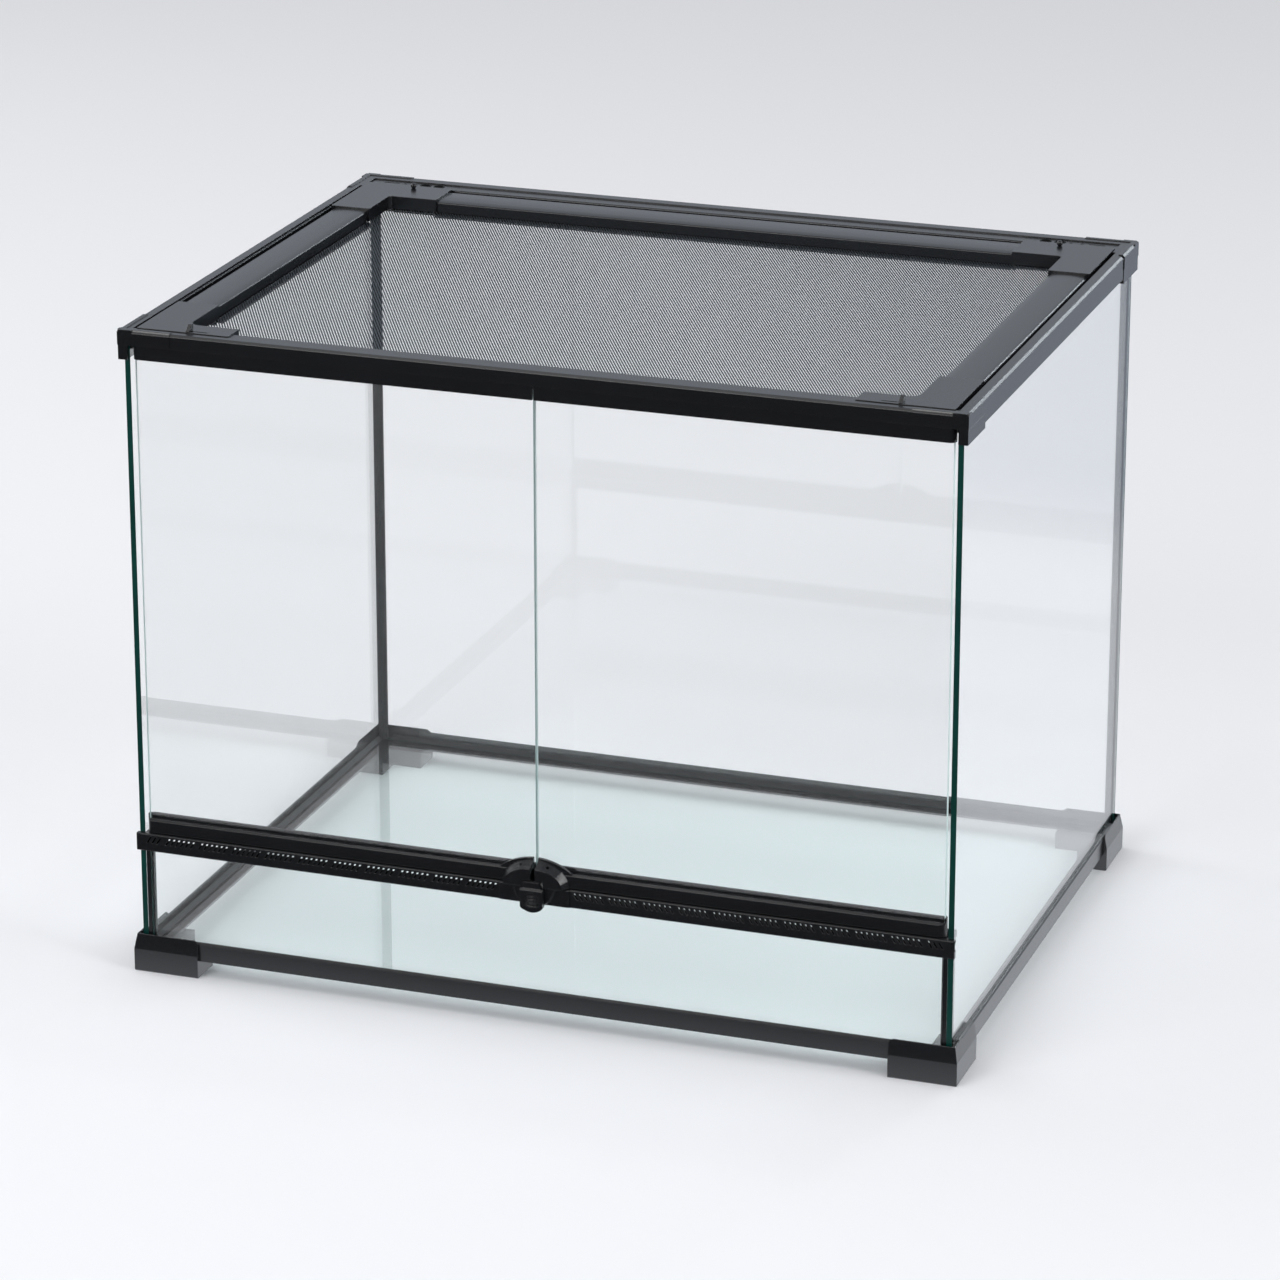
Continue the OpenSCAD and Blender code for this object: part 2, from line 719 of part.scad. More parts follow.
module vent_rail(sx) color(black) side(sx) difference() {
    union() {
        intersection() {
            along_x(latch_half, hw - sill_inset) sill_section(-hd);
            union() {
                block([0, -hd, 0], [pane_in_x - fit, 0, body_h]);
                block([0, -hd, 0], [hw, -pane_out_y - fit, body_h]);
            }
        }
        block([axis_x - 4.5, -hd + sill_wall, groove_roof], [pane_in_x - fit, strip_back_y, sill_top]);
    }
    vent_slots();
    upright(axis_x, pin_r + run_fit, sill_top - sill_pin_seat, sill_top + 1);
}

// ---------- latch ----------

module latch_base() color(black) difference() {
    union() {
        along_x(-latch_half, latch_half) sill_section(latch_front);
        block([-latch_half, latch_front + 0.5, sill_z], [latch_half, -pane_out_y - fit, sill_top]);
        intersection() {
            translate([0, latch_front + boss_seat, sill_top]) rotate([90, 0, 0])
                cylinder(r1 = boss_r, r2 = boss_r - boss_taper, h = boss_t + boss_seat);
            block([-hw, -hd * 2, 0], [hw, 0, sill_top]);
        }
    }
    block([-pocket_half, pocket_front, pocket_low], [pocket_half, pocket_back, pocket_high]);
    block([-stem_half - fit, boss_front - 1, keeper_low - button_travel],
          [stem_half + fit, pocket_front + 1, keeper_top]);
}

// Arch-shaped thumb recess, as a front outline
module thumb_arch(inset) {
    r = button_w / 2 - thumb_side - inset;
    z = button_top - thumb_top - r - inset;
    translate([0, z]) circle(r = r);
    translate([-r, button_low - 2]) square([2 * r, z - button_low + 2]);
}

module button_outline() {
    r = button_w * 0.64;
    low_side = button_low + r - sqrt(r * r - pow(button_w / 2, 2));
    translate([-button_w / 2, low_side]) square([button_w, button_top - low_side]);
    intersection() {
        translate([0, button_low + r]) circle(r = r);
        translate([-button_w / 2, button_low - 1]) square([button_w, low_side - button_low + 2]);
    }
}

module latch_button() color(black) {
    difference() {
        intersection() {
            along_y(button_front, button_back) button_outline();
            along_x(-hw, hw) polygon([
                [button_back, button_low], [button_back, button_top], [button_front + 1.2, button_top],
                [button_front, button_top - 1.2], [button_front, button_low + 3],
                [button_front + 1, button_low]
            ]);
        }
        along_y(button_front - 1, button_front + 1) thumb_arch(0);
    }
    // Curved grip ridges in the recess
    along_y(button_front + 0.2, button_front + 1.05) intersection() {
        thumb_arch(0.2);
        translate([-button_w / 2, button_low + thumb_side]) square([button_w, button_h]);
        for (k = [0 : 3]) translate([0, button_top + 1]) difference() {
            circle(r = ridge_r + ridge_pitch * k);
            circle(r = ridge_r - ridge_t + ridge_pitch * k);
        }
    }
    along_y(button_front + 1.4, button_back) polygon([
        [-tongue_w / 2, button_top - 0.1], [tongue_w / 2, button_top - 0.1],
        [tongue_w / 2 - 1.3, button_top + tongue_h], [-tongue_w / 2 + 1.3, button_top + tongue_h]
    ]);
    // Stem and keeper, which run in the base
    block([-stem_half, button_back - 0.1, keeper_low + 0.2],
          [stem_half, pocket_front + slide_fit + 0.1, keeper_top - 0.2]);
    block([-pocket_half + slide_fit, pocket_front + slide_fit, keeper_low],
          [pocket_half - slide_fit, pocket_back - slide_fit, keeper_top]);
}

// Coil spring under the keeper: a tube swept along a helix, closed at both ends
spring_turns = 5;
spring_steps = 10;
spring_sides = 6;
spring_low = pocket_low + spring_wire;
spring_high = keeper_low - spring_wire;

function spring_point(i, j) =
    let (a = 360 * i / spring_steps, b = 360 * j / spring_sides,
         r = spring_r + spring_wire * cos(b),
         z = lerp(spring_low, spring_high, i / (spring_turns * spring_steps)))
    [r * cos(a), spring_y + r * sin(a), z + spring_wire * sin(b)];

module latch_spring() color(steel) {
    rings = spring_turns * spring_steps;
    n = spring_sides;
    points = [for (i = [0 : rings], j = [0 : n - 1]) spring_point(i, j)];
    walls = [for (i = [0 : rings - 1], j = [0 : n - 1])
        [i * n + j, i * n + (j + 1) % n, (i + 1) * n + (j + 1) % n, (i + 1) * n + j]];
    first = [for (j = [n - 1 : -1 : 0]) j];
    last = [for (j = [0 : n - 1]) rings * n + j];
    polyhedron(points, concat(walls, [first, last]));
}

// ---------- doors ----------

module door_glass(sx) color(clear_green) side(sx)
    block([door_gap / 2, axis_y - pane_half, door_glass_low],
          [door_glass_end, axis_y + pane_half, door_glass_high]);

// Strip whose end is rounded about the hinge axis; the pane's slot is cut from slot_z0 to slot_z1
module door_strip(z0, z1, slot_z0, slot_z1) difference() {
    union() {
        block([door_gap / 2, axis_y - strip_r, z0], [axis_x, axis_y + strip_r, z1]);
        upright(axis_x, strip_r, z0, z1);
    }
    block([0, axis_y - pane_half - fit, slot_z0],
          [door_glass_end + fit, axis_y + pane_half + fit, slot_z1]);
}

module door_bottom_strip(sx) color(black) side(sx) difference() {
    door_strip(door_low, door_low + strip_h + strip_back, door_glass_low, body_h);
    block([0, axis_y - strip_r - 1, door_low + strip_h],
          [hw, axis_y - pane_half, door_low + strip_h + strip_back + 1]);
    along_x(0, hw) polygon([
        [axis_y - strip_r - 1, door_low + strip_h - 2.2], [axis_y - strip_r + 1.4, door_low + strip_h + 0.2],
        [axis_y - strip_r - 1, door_low + strip_h + 0.2]
    ]);
    block([-1, -hd, door_low - 1], [notch_half, 0, notch_top]);
    upright(axis_x, pin_r + tight_fit, door_low - 1, door_low + door_pin_in);
}

module door_top_strip(sx) color(black) side(sx) difference() {
    door_strip(door_high - strip_h, door_high, 0, door_glass_high);
    along_x(0, hw) polygon([
        [axis_y - strip_r - 1, door_high - 0.6], [axis_y - strip_r + 0.6, door_high + 1],
        [axis_y - strip_r - 1, door_high + 1]
    ]);
    upright(axis_x, pin_r + tight_fit, door_high - door_pin_in, door_high + 1);
}

module hinge_pins(sx) color(steel) side(sx) {
    upright(axis_x, pin_r, sill_top - sill_pin_seat + 0.3, door_low + door_pin_in - 0.1);
    upright(axis_x, pin_r, door_high - door_pin_in + 0.1, header_z + pin_seat - 0.3);
}

// Quarter of an oval, standing on the door's lower edge
function wing_oval(rx, rz) = concat(
    [[wing_in, door_low], [rx, door_low]],
    [for (a = [6 : 12 : 78]) [wing_in + (rx - wing_in) * cos(a), door_low + rz * sin(a)]],
    [[wing_in, door_low + rz]]
);

module door_handle(sx) color(black) side(sx) difference() {
    front = axis_y - strip_r;
    union() {
        hull() {
            along_y(front - 0.5, front) polygon(wing_oval(wing_w, wing_h));
            along_y(front - wing_d, front - wing_d + 0.5)
                polygon(wing_oval(wing_w - 3.4, wing_h - 3.8));
        }
        // Plate on the pane behind the handle
        along_y(front, axis_y - pane_half) intersection() {
            translate([0, door_low + wing_plate_h - wing_plate_r]) circle(r = wing_plate_r, $fn = 96);
            translate([wing_in, door_low + strip_h]) square([wing_w + 2, wing_plate_h]);
        }
    }
    block([-1, front - wing_d - 1, door_low - 1], [notch_half, front + hair, notch_top]);
    translate([wing_in + 8, front - wing_d / 2, door_low + wing_h - 2.5]) rotate([50, 0, 0])
        cylinder(r = 1.1, h = 12, center = true);
}

// ---------- lid ----------

// Crowned top edge of a bar, from its inner to its outer side, lowered by drop
bar_steps = 10;
bar_lip = 1.2;
function crown_z(t) = lerp(bar_top - bar_lip, bar_top - bar_drop, t) + 4 * bar_crown * t * (1 - t);
function crown(u0, u1, drop) = [
    for (i = [0 : bar_steps]) [lerp(u0, u1, i / bar_steps), crown_z(i / bar_steps) - drop]
];
function reversed(list) = [for (i = [len(list) - 1 : -1 : 0]) list[i]];

// Hollow bar with a crowned top and the mesh flange along its inner edge
function bar_section(inner, outer) = concat(
    [[inner - mesh_flange, flange_z], [inner - mesh_flange, mesh_low], [inner, mesh_low]],
    crown(inner, outer, 0),
    [[outer, lid_low], [outer - lid_wall, lid_low]],
    reversed(crown(inner + lid_wall, outer - lid_wall, lid_wall)),
    [[inner + lid_wall, flange_z]]
);

module lid_side_bar(sx) color(black) side(sx)
    along_y(lid_front + corner_y_front, lid_rear - corner_y_rear) polygon(bar_section(bar_in, bar_out));

module lid_rear_bar() color(black)
    along_x(-corner_end_x, corner_end_x) polygon(bar_section(rear_bar_in, rear_bar_out));

module lid_front_bar() color(black) along_x(-corner_end_x, corner_end_x) polygon([
    [lid_front, front_low], [lid_front, bar_top - 0.6], [lid_front + 0.6, bar_top],
    [front_bar_in - 1, bar_top], [front_bar_in, bar_top - 1], [front_bar_in, mesh_low],
    [front_bar_in + mesh_flange, mesh_low], [front_bar_in + mesh_flange, flange_z],
    [leg_front, flange_z], [leg_front, bar_top - lid_wall], [lid_front + lid_wall, bar_top - lid_wall],
    [lid_front + lid_wall, front_low]
]);

// Plan of a front corner, shrunk by inset, with a fillet at its inside corner
module front_corner_plan(inset) {
    r = corner_fillet + inset;
    cx = corner_in_x - corner_fillet;
    cy = lid_front + corner_shelf + corner_fillet;
    polygon(concat(
        [[corner_end_x + inset, lid_front + inset], [lid_hx - inset, lid_front + inset],
         [lid_hx - inset, lid_front + corner_y_front - inset],
         [corner_in_x + inset, lid_front + corner_y_front - inset]],
        [for (a = [0 : -15 : -90]) [cx + r * cos(a), cy + r * sin(a)]],
        [[corner_end_x + inset, lid_front + corner_shelf - inset]]
    ));
}

// Plan of a rear corner, shrunk by inset
module rear_corner_plan(inset) polygon([
    [corner_end_x + inset, corner_in_rear + inset],
    [corner_in_x + inset - corner_cut, corner_in_rear + inset],
    [corner_in_x + inset, corner_in_rear + inset - corner_cut],
    [corner_in_x + inset, lid_rear - corner_y_rear + inset],
    [lid_hx - inset, lid_rear - corner_y_rear + inset],
    [lid_hx - inset, lid_rear - inset], [corner_end_x + inset, lid_rear - inset]
]);

// Room for the mesh under the corners' inner edges
module mesh_room() block([-bar_in, front_bar_in, 0], [bar_in, rear_bar_in, mesh_top + fit]);

lock_x = lid_hx - lock_side;
lock_y = lid_front + 3.3;
slot_w = 1.6;
lock_bar_l = 14;
lock_bar_w = 7;
lock_bar_t = 1;

module lid_front_corner(sx) color(black) side(sx) difference() {
    translate([0, 0, lid_low]) linear_extrude(lid_top - lid_low) front_corner_plan(0);
    translate([0, 0, lid_low - 1]) linear_extrude(corner_roof - lid_low + 1) front_corner_plan(lid_wall);
    block([0, lid_front - 1, 0], [hw, leg_front, front_low]);
    mesh_room();
    block([lock_x - fin_t / 2 - lock_travel - slide_fit, lock_y - slot_w / 2, corner_roof - 1],
          [lock_x + fin_t / 2 + slide_fit, lock_y + slot_w / 2, lid_top + 1]);
}

module lid_rear_corner(sx) color(black) side(sx) difference() {
    translate([0, 0, lid_low]) linear_extrude(lid_top - lid_low) rear_corner_plan(0);
    translate([0, 0, lid_low - 1]) linear_extrude(corner_roof - lid_low + 1) rear_corner_plan(lid_wall);
    mesh_room();
    block([0, lid_rear - lid_wall, lid_low - 1], [hw, lid_rear + 1, heel_z]);
    translate([lid_hx - lid_wall - 1, pivot_y, pivot_z]) rotate([0, 90, 0])
        cylinder(r = pin_r + tight_fit, h = lid_wall + 2);
}

module lid_pivot_pins() color(steel) for (sx = [-1, 1]) side(sx)
    translate([lid_hx - lid_wall, pivot_y, pivot_z]) rotate([0, 90, 0])
        cylinder(r = pin_r, h = lid_wall + lid_gap + 2.2);

// Two layers of crossing wires, a hair apart, resting on the bars' flanges
module lid_mesh() color(dark_metal) {
    x1 = bar_in - fit;
    y0 = front_bar_in + fit;
    y1 = rear_bar_in - fit;
    nx = floor((x1 - wire) * 2 / mesh_pitch);
    ny = floor((y1 - y0 - wire) / mesh_pitch);
    for (i = [0 : nx]) {
        x = -nx * mesh_pitch / 2 + i * mesh_pitch;
        block([x - wire / 2, y0, mesh_low], [x + wire / 2, y1, mesh_low + wire]);
    }
    for (j = [0 : ny]) {
        y = (y0 + y1) / 2 - ny * mesh_pitch / 2 + j * mesh_pitch;
        block([-x1, y - wire / 2, mesh_top - wire], [x1, y + wire / 2, mesh_top]);
    }
}

module lid_knobs() color(black) for (sx = [-1, 1]) side(sx)
    translate([lid_hx - knob_side, lid_rear - knob_in, lid_top]) {
        cylinder(r = knob_r * 0.6, h = knob_r);
        translate([0, 0, knob_r * 0.9]) intersection() {
            sphere(r = knob_r);
            translate([0, 0, knob_r * 0.1]) cube(knob_r * 2, center = true);
        }
    }

// Sliding lever: fin above the lid, neck in the slot, bar trapped under the roof
module lock(sx) color(black) side(sx) {
    fin_low = lid_top + 0.2;
    half = fin_t / 2;
    along_x(lock_x - half, lock_x + half) polygon([
        [lock_y - fin_l * 0.4, fin_low], [lock_y + fin_l * 0.6, fin_low],
        [lock_y + fin_l * 0.6, lid_top + fin_h], [lock_y + fin_l * 0.25, lid_top + fin_h]
    ]);
    block([lock_x - half, lock_y - slot_w / 2 + fit, corner_roof - slide_fit - join],
          [lock_x + half, lock_y + slot_w / 2 - fit, fin_low + join]);
    block([lock_x + half - lock_bar_l, lock_y, corner_roof - slide_fit - lock_bar_t],
          [lock_x + half, lock_y + lock_bar_w, corner_roof - slide_fit]);
}

// ---------- nodes ----------

in_place() floor_glass();
in_place() side_glass(-1);  // left_glass
in_place() side_glass(1);  // right_glass
in_place() rear_glass();
in_place() sill_glass();
in_place() rear_seal(-1);  // rear_left_seal
in_place() rear_seal(1);  // rear_right_seal
in_place() floor_seal();
in_place() sill_post(-1);  // left_sill_post
in_place() sill_post(1);  // right_sill_post
in_place() end_base_rail(-1);  // front_base_rail
in_place() end_base_rail(1);  // rear_base_rail
in_place() side_base_rail(-1);  // left_base_rail
in_place() side_base_rail(1);  // right_base_rail
in_place() foot(-1, -1);  // front_left_foot
in_place() foot(1, -1);  // front_right_foot
in_place() foot(-1, 1);  // rear_left_foot
in_place() foot(1, 1);  // rear_right_foot
in_place() vent_rail(-1);  // left_vent_rail
in_place() vent_rail(1);  // right_vent_rail
in_place() latch_base();
in_place() latch_spring();
in_place() latch_button();
in_place() top_front_rail();
in_place() top_rear_rail();
in_place() top_side_rail(-1);  // top_left_rail
in_place() top_side_rail(1);  // top_right_rail
in_place() front_cap(-1);  // front_left_cap
in_place() front_cap(1);  // front_right_cap
in_place() rear_cap(-1);  // rear_left_cap
in_place() rear_cap(1);  // rear_right_cap
in_place() cord_plate(-1);  // left_cord_plate
in_place() cord_plate(1);  // right_cord_plate
in_place() cord_grommets(-1);  // left_cord_grommets
in_place() cord_grommets(1);  // right_cord_grommets
in_place() door_glass(-1);  // left_door_glass
in_place() door_top_strip(-1);  // left_door_top_strip
in_place() door_bottom_strip(-1);  // left_door_bottom_strip
in_place() door_handle(-1);  // left_door_handle
in_place() hinge_pins(-1);  // left_hinge_pins
in_place() door_glass(1);  // right_door_glass
in_place() door_top_strip(1);  // right_door_top_strip
in_place() door_bottom_strip(1);  // right_door_bottom_strip
in_place() door_handle(1);  // right_door_handle
in_place() hinge_pins(1);  // right_hinge_pins
in_place() lid_front_bar();
in_place() lid_rear_bar();
in_place() lid_side_bar(-1);  // lid_left_bar
in_place() lid_side_bar(1);  // lid_right_bar
in_place() lid_front_corner(-1);  // lid_front_left_corner
in_place() lid_front_corner(1);  // lid_front_right_corner
in_place() lid_rear_corner(-1);  // lid_rear_left_corner
in_place() lid_rear_corner(1);  // lid_rear_right_corner
in_place() lid_mesh();
in_place() lid_knobs();
in_place() lid_pivot_pins();
in_place() lock(-1);  // left_lock
in_place() lock(1);  // right_lock
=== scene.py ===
"""Looks of the front-opening glass enclosure: finishes, fine lid mesh, lights, floor and camera."""
import json
import math

import bmesh
import bpy
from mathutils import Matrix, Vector


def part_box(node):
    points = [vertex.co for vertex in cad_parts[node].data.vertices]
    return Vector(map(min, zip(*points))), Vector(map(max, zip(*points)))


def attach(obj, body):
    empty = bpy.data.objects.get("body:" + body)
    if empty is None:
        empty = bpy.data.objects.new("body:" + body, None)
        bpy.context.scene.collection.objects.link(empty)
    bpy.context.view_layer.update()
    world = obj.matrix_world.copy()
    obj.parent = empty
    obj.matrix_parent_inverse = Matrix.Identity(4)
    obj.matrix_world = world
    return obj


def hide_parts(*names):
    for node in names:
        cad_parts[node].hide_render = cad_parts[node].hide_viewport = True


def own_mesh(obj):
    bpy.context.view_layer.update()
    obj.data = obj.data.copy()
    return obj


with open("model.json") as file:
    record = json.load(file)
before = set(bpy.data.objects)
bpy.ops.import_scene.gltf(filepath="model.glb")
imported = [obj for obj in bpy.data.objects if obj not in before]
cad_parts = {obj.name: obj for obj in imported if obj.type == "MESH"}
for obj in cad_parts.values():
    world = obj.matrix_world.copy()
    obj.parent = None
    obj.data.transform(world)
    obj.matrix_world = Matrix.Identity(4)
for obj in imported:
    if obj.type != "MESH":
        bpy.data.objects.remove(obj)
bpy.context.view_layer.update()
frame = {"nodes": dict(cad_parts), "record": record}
nodes = frame["nodes"]
scene = bpy.context.scene
MM = 0.001


# ---------- helpers ----------

def linear(code):
    """sRGB hex colour as linear RGBA."""
    parts = [int(code[i:i + 2], 16) / 255 for i in (1, 3, 5)]
    return tuple(c / 12.92 if c <= 0.04045 else ((c + 0.055) / 1.055) ** 2.4 for c in parts) + (1.0,)


def add(tree, kind, inputs=None, **settings):
    """Adds one node, with its settings and its sockets set to values or linked."""
    node = tree.nodes.new("ShaderNode" + kind)
    for name, value in settings.items():
        setattr(node, name, value)
    for key, value in (inputs or {}).items():
        if isinstance(value, bpy.types.NodeSocket):
            tree.links.new(value, node.inputs[key])
        else:
            node.inputs[key].default_value = value
    return node


def new_material(name):
    """An empty material and its node tree."""
    made = bpy.data.materials.new(name)
    made.use_nodes = True
    made.node_tree.nodes.clear()
    return made, made.node_tree


def per_mm(size):
    """Texture scale, in cycles per metre, of a feature of that many millimetres."""
    return 1 / (size * MM)


def mesh_object(name, verts, faces, material):
    """A new object in the scene from corners and faces."""
    data = bpy.data.meshes.new(name)
    data.from_pydata(verts, [], faces)
    data.validate()
    made = bpy.data.objects.new(name, data)
    scene.collection.objects.link(made)
    data.materials.append(material)
    return made


# ---------- finishes ----------

def moulded_abs(name, tone, light, grain, gloss, slots=None):
    """ABS, injection moulded in a spark-eroded tool: nearly black, satin, with a fine even grain.
    The grain of about 0.1 mm is too fine to show, so it is drawn coarser. The rounded edges catch
    the light as thin bright lines. Where slots gives (front, low, high), what lies behind that front
    between those heights is painted shade: a near-black, almost unreflecting finish that stands in
    for the shade inside the vent slots."""
    made, tree = new_material(name)
    place = add(tree, "TexCoord").outputs["Object"]
    specks = add(tree, "TexNoise", {"Vector": place, "Scale": per_mm(grain), "Detail": 3.0})
    flow = add(tree, "TexNoise", {"Vector": place, "Scale": per_mm(60), "Detail": 2.0, "Roughness": 0.6})
    colour = add(tree, "Mix", {0: flow.outputs[0], 6: linear(tone), 7: linear(light)}, data_type="RGBA")
    rough = add(tree, "MapRange", {0: specks.outputs[0], 1: 0.3, 2: 0.7, 3: gloss - 0.02, 4: gloss + 0.03})
    edge_radius = 0.7 * MM
    grain_depth = 0.04 * MM
    edge = add(tree, "Bevel", {"Radius": edge_radius}, samples=4)
    bump = add(tree, "Bump", {"Height": specks.outputs[0], "Strength": 0.03, "Distance": grain_depth,
                              "Normal": edge.outputs[0]})
    surface = add(tree, "BsdfPrincipled", {
        "Base Color": colour.outputs[2], "Roughness": rough.outputs[0], "Normal": bump.outputs[0],
        "IOR": 1.53, "Specular IOR Level": 0.7})
    skin = surface
    if slots:
        front, low, high = slots
        at = add(tree, "SeparateXYZ", {0: place})
        behind = add(tree, "Math", {0: at.outputs["Y"], 1: front}, operation="GREATER_THAN")
        above = add(tree, "Math", {0: at.outputs["Z"], 1: low}, operation="GREATER_THAN")
        below = add(tree, "Math", {0: at.outputs["Z"], 1: high}, operation="LESS_THAN")
        level = add(tree, "Math", {0: above.outputs[0], 1: below.outputs[0]}, operation="MULTIPLY")
        inside = add(tree, "Math", {0: behind.outputs[0], 1: level.outputs[0]}, operation="MULTIPLY")
        # Painted shade: a near-black, almost unreflecting finish in place of the shade inside the vent
        # slots
        painted_slot_shade = add(tree, "BsdfPrincipled", {
            "Base Color": linear("#0b0b0c"), "Roughness": 0.95, "Specular IOR Level": 0.06})
        skin = add(tree, "MixShader", {0: inside.outputs[0], 1: surface.outputs[0], 2: painted_slot_shade.outputs[0]})
    add(tree, "OutputMaterial", {"Surface": skin.outputs[0]})
    return made


def float_glass(name, body, density, across, rim):
    """Float glass, drawn flat and bright: clear through the face, with a faint green body. The cut
    edges, the faces that don't look across the pane, are ground and take the two rim tones; the pale
    rim tones of the doors' meeting edges are a painted highlight."""
    made, tree = new_material(name)
    path = add(tree, "LightPath")
    surface = add(tree, "BsdfPrincipled", {
        "Base Color": linear("#ffffff"), "Roughness": 0.0, "IOR": 1.52, "Transmission Weight": 1.0})
    clear = add(tree, "BsdfTransparent", {"Color": linear("#ffffff")})
    face = add(tree, "MixShader", {
        0: path.outputs["Is Shadow Ray"], 1: surface.outputs[0], 2: clear.outputs[0]})
    place = add(tree, "TexCoord").outputs["Object"]
    grind = add(tree, "TexNoise", {"Vector": place, "Scale": per_mm(30), "Detail": 2.0})
    tone = add(tree, "Mix", {0: grind.outputs[0], 6: linear(rim[0]), 7: linear(rim[1])}, data_type="RGBA")
    # On the doors' meeting edges these tones are a painted highlight
    ground = add(tree, "BsdfPrincipled", {
        "Base Color": tone.outputs[2], "Roughness": 0.28, "IOR": 1.52, "Specular IOR Level": 0.3})
    # The normal is read in the pane's own frame, so a door keeps its clear face when it swings
    normal = add(tree, "NewGeometry").outputs["True Normal"]
    own_normal = add(tree, "VectorTransform", {"Vector": normal},
                     vector_type="NORMAL", convert_from="WORLD", convert_to="OBJECT")
    looks = add(tree, "SeparateXYZ", {0: own_normal.outputs[0]})
    flat = add(tree, "Math", {0: looks.outputs[across]}, operation="ABSOLUTE")
    face_at_least = 0.8
    cut = add(tree, "Math", {0: flat.outputs[0], 1: face_at_least}, operation="LESS_THAN")
    both = add(tree, "MixShader", {0: cut.outputs[0], 1: face.outputs[0], 2: ground.outputs[0]})
    inside = add(tree, "VolumeAbsorption", {"Color": linear(body), "Density": density})
    add(tree, "OutputMaterial", {"Surface": both.outputs[0], "Volume": inside.outputs[0]})
    return made


def silicone_sealant():
    """Black acetoxy silicone, gunned and smoothed by finger: wet-looking, slightly wavy."""
    made, tree = new_material("black_silicone_sealant")
    place = add(tree, "TexCoord").outputs["Object"]
    waves = add(tree, "TexNoise", {"Vector": place, "Scale": per_mm(9), "Detail": 2.0})
    bump = add(tree, "Bump", {"Height": waves.outputs[0], "Strength": 0.3, "Distance": 0.3 * MM})
    colour = add(tree, "Mix", {0: waves.outputs[0], 6: linear("#121416"), 7: linear("#1c1f22")},
                 data_type="RGBA")
    surface = add(tree, "BsdfPrincipled", {
        "Base Color": colour.outputs[2], "Roughness": 0.4, "Normal": bump.outputs[0], "IOR": 1.41})
    add(tree, "OutputMaterial", {"Surface": surface.outputs[0]})
    return made


def drawn_steel(name, tone, gloss):
    """Stainless steel, drawn into wire or pin: grey, with a dull sheen along its length."""
    made, tree = new_material(name)
    place = add(tree, "TexCoord").outputs["Object"]
    lines = add(tree, "TexNoise", {"Vector": place, "Scale": per_mm(0.9), "Detail": 2.0})
    rough = add(tree, "MapRange", {0: lines.outputs[0], 1: 0.3, 2: 0.7, 3: gloss - 0.06, 4: gloss + 0.06})
    surface = add(tree, "BsdfPrincipled", {
        "Base Color": linear(tone), "Metallic": 1.0, "Roughness": rough.outputs[0]})
    add(tree, "OutputMaterial", {"Surface": surface.outputs[0]})
    return made


def thermoplastic_rubber():
    """Thermoplastic rubber, moulded: soft black with almost no gloss."""
    made, tree = new_material("thermoplastic_rubber")
    place = add(tree, "TexCoord").outputs["Object"]
    bloom = add(tree, "TexNoise", {"Vector": place, "Scale": per_mm(1.5), "Detail": 3.0})
    colour = add(tree, "Mix", {0: bloom.outputs[0], 6: linear("#111213"), 7: linear("#1d1e20")},
                 data_type="RGBA")
    surface = add(tree, "BsdfPrincipled", {
        "Base Color": colour.outputs[2], "Roughness": 0.7, "IOR": 1.5, "Specular IOR Level": 0.35})
    add(tree, "OutputMaterial", {"Surface": surface.outputs[0]})
    return made


# Tones, grain in mm and lowest roughness of all the black mouldings
BLACK_ABS = ("#121315", "#18191c", 0.6, 0.24)
# The vent slots lie behind the rail's front skin, between these heights above its foot; there the shade
# inside them is painted near-black
SLOT_SKIN = 0.25 * MM
SLOT_LOW = 5.5 * MM
SLOT_HIGH = 12.9 * MM
rail_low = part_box("left_vent_rail")[0]
abs_black = moulded_abs("moulded_abs_black", *BLACK_ABS)
# The vent rails' finish carries painted shade inside their slots
abs_with_painted_slot_shade = moulded_abs("moulded_abs_vented", *BLACK_ABS,
                         slots=(rail_low.y + SLOT_SKIN, rail_low.z + SLOT_LOW, rail_low.z + SLOT_HIGH))

# A ground edge seen along the pane is dark green, because iron takes out the red inside. The doors'
# meeting edges are painted pale: a painted highlight, as if they caught the light.
DARK_RIM = ("#06403a", "#042a25")
PAINTED_SEAM_HIGHLIGHT = ("#cfe0e0", "#b4cccb")
PANE_BODY = ("#d8eae9", 12.0)
glass_side = float_glass("float_glass_4mm_side", *PANE_BODY, "X", DARK_RIM)
glass_back = float_glass("float_glass_4mm_back", *PANE_BODY, "Y", DARK_RIM)
glass_door = float_glass("float_glass_4mm_door", *PANE_BODY, "Y", PAINTED_SEAM_HIGHLIGHT)
glass_floor = float_glass("float_glass_5mm", "#cfe6e2", 45.0, "Z", DARK_RIM)
silicone = silicone_sealant()
pin_steel = drawn_steel("drawn_stainless_pin", "#a9adb1", 0.3)
mesh_steel = drawn_steel("drawn_stainless_wire", "#474f56", 0.45)
rubber = thermoplastic_rubber()

FINISH = {
    "black_plastic": abs_black, "wall_glass": glass_back, "floor_glass": glass_floor,
    "silicone": silicone, "pin_steel": pin_steel, "mesh_steel": mesh_steel, "rubber": rubber,
}
SPECIAL = {
    "left_vent_rail": abs_with_painted_slot_shade, "right_vent_rail": abs_with_painted_slot_shade,
    "left_glass": glass_side, "right_glass": glass_side,
    "left_door_glass": glass_door, "right_door_glass": glass_door,
}
for part in frame["record"]["subparts"]:
    node = nodes[part["node"]]
    finish = SPECIAL.get(part["node"], FINISH[part["material_slot"]])
    node.data.materials.clear()
    node.data.materials.append(finish)

